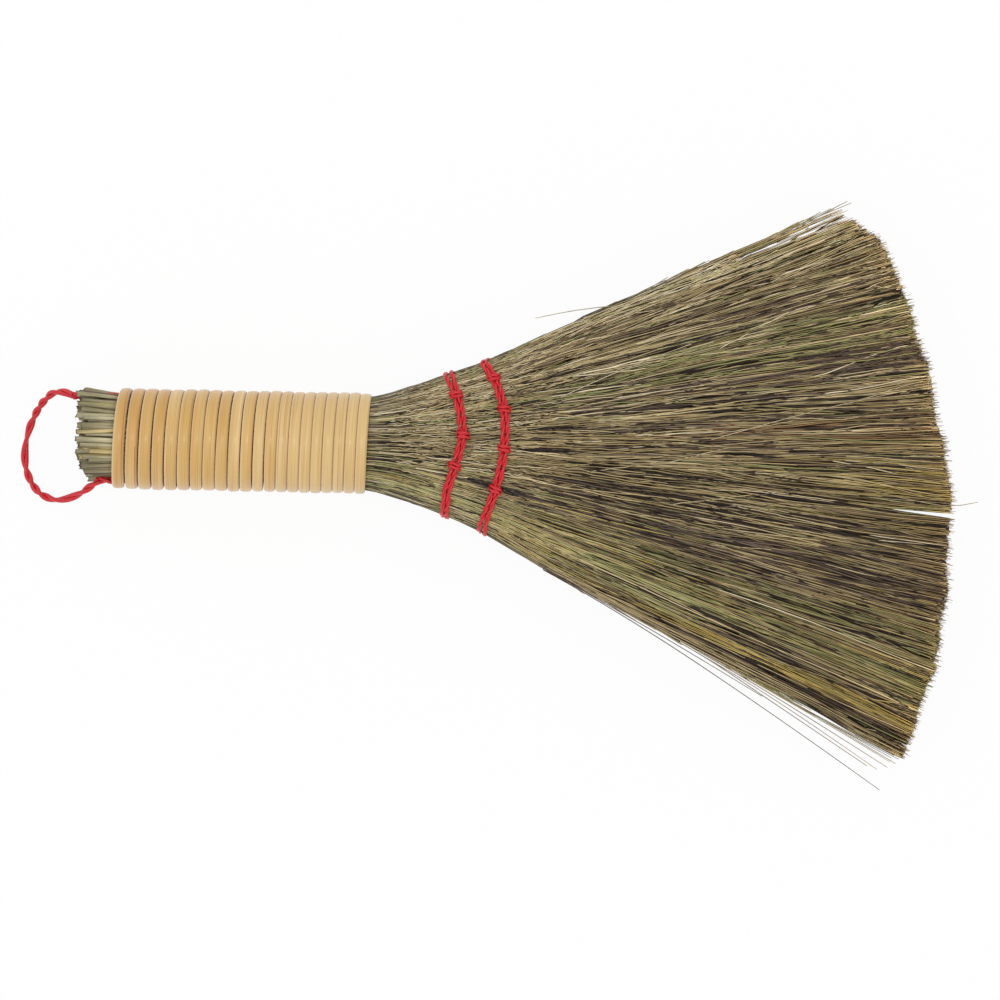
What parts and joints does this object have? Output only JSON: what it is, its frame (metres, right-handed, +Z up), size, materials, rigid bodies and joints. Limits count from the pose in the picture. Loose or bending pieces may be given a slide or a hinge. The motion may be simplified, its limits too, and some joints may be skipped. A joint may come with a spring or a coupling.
{
  "type": "hand broom",
  "caption": "Short grass hand broom: a fan of dried stems stitched with red twine, a rattan-wound handle and a twine hanging loop.",
  "frame": {"origin": "under the middle of the broom's box, the free hanging loop left out, on the surface that the broom lies on", "axes": "+X along the handle towards the fan tips, +Y across the fan towards its shorter edge, +Z up from the surface"},
  "size_m": [0.3199, 0.1872, 0.0349],
  "materials": {
    "dried_grass": "matt dried stems and panicles, mixed straw, green and brown",
    "rattan": "split rattan with its natural gloss",
    "red_twine": "twisted plastic twine",
    "tie_twine": "plain fibre twine"
  },
  "bodies": {
    "broom": {"grass_bundle_1": "dried_grass", "grass_bundle_2": "dried_grass", "grass_bundle_3": "dried_grass", "grass_bundle_4": "dried_grass", "grass_bundle_5": "dried_grass", "rattan_winding": "rattan", "inner_stitch_band": "red_twine", "outer_stitch_band": "red_twine", "inner_stitch_1": "red_twine", "inner_stitch_2": "red_twine", "inner_stitch_3": "red_twine", "outer_stitch_1": "red_twine", "outer_stitch_2": "red_twine", "outer_stitch_3": "red_twine", "outer_stitch_4": "red_twine", "upper_loop_tail": "red_twine", "lower_loop_tail": "red_twine", "rear_tie": "tie_twine", "front_tie": "tie_twine"},
    "loop": {"hanging_loop": "red_twine"}
  },
  "joints": [
    {"name": "loop_swing", "type": "hinge", "parent": "broom", "child": "loop", "pos_m": [-0.14171, -0.00537, 0.01745], "axis": [-0.3098, 0.9508, 0], "range_deg": [0, 100]}
  ]
}
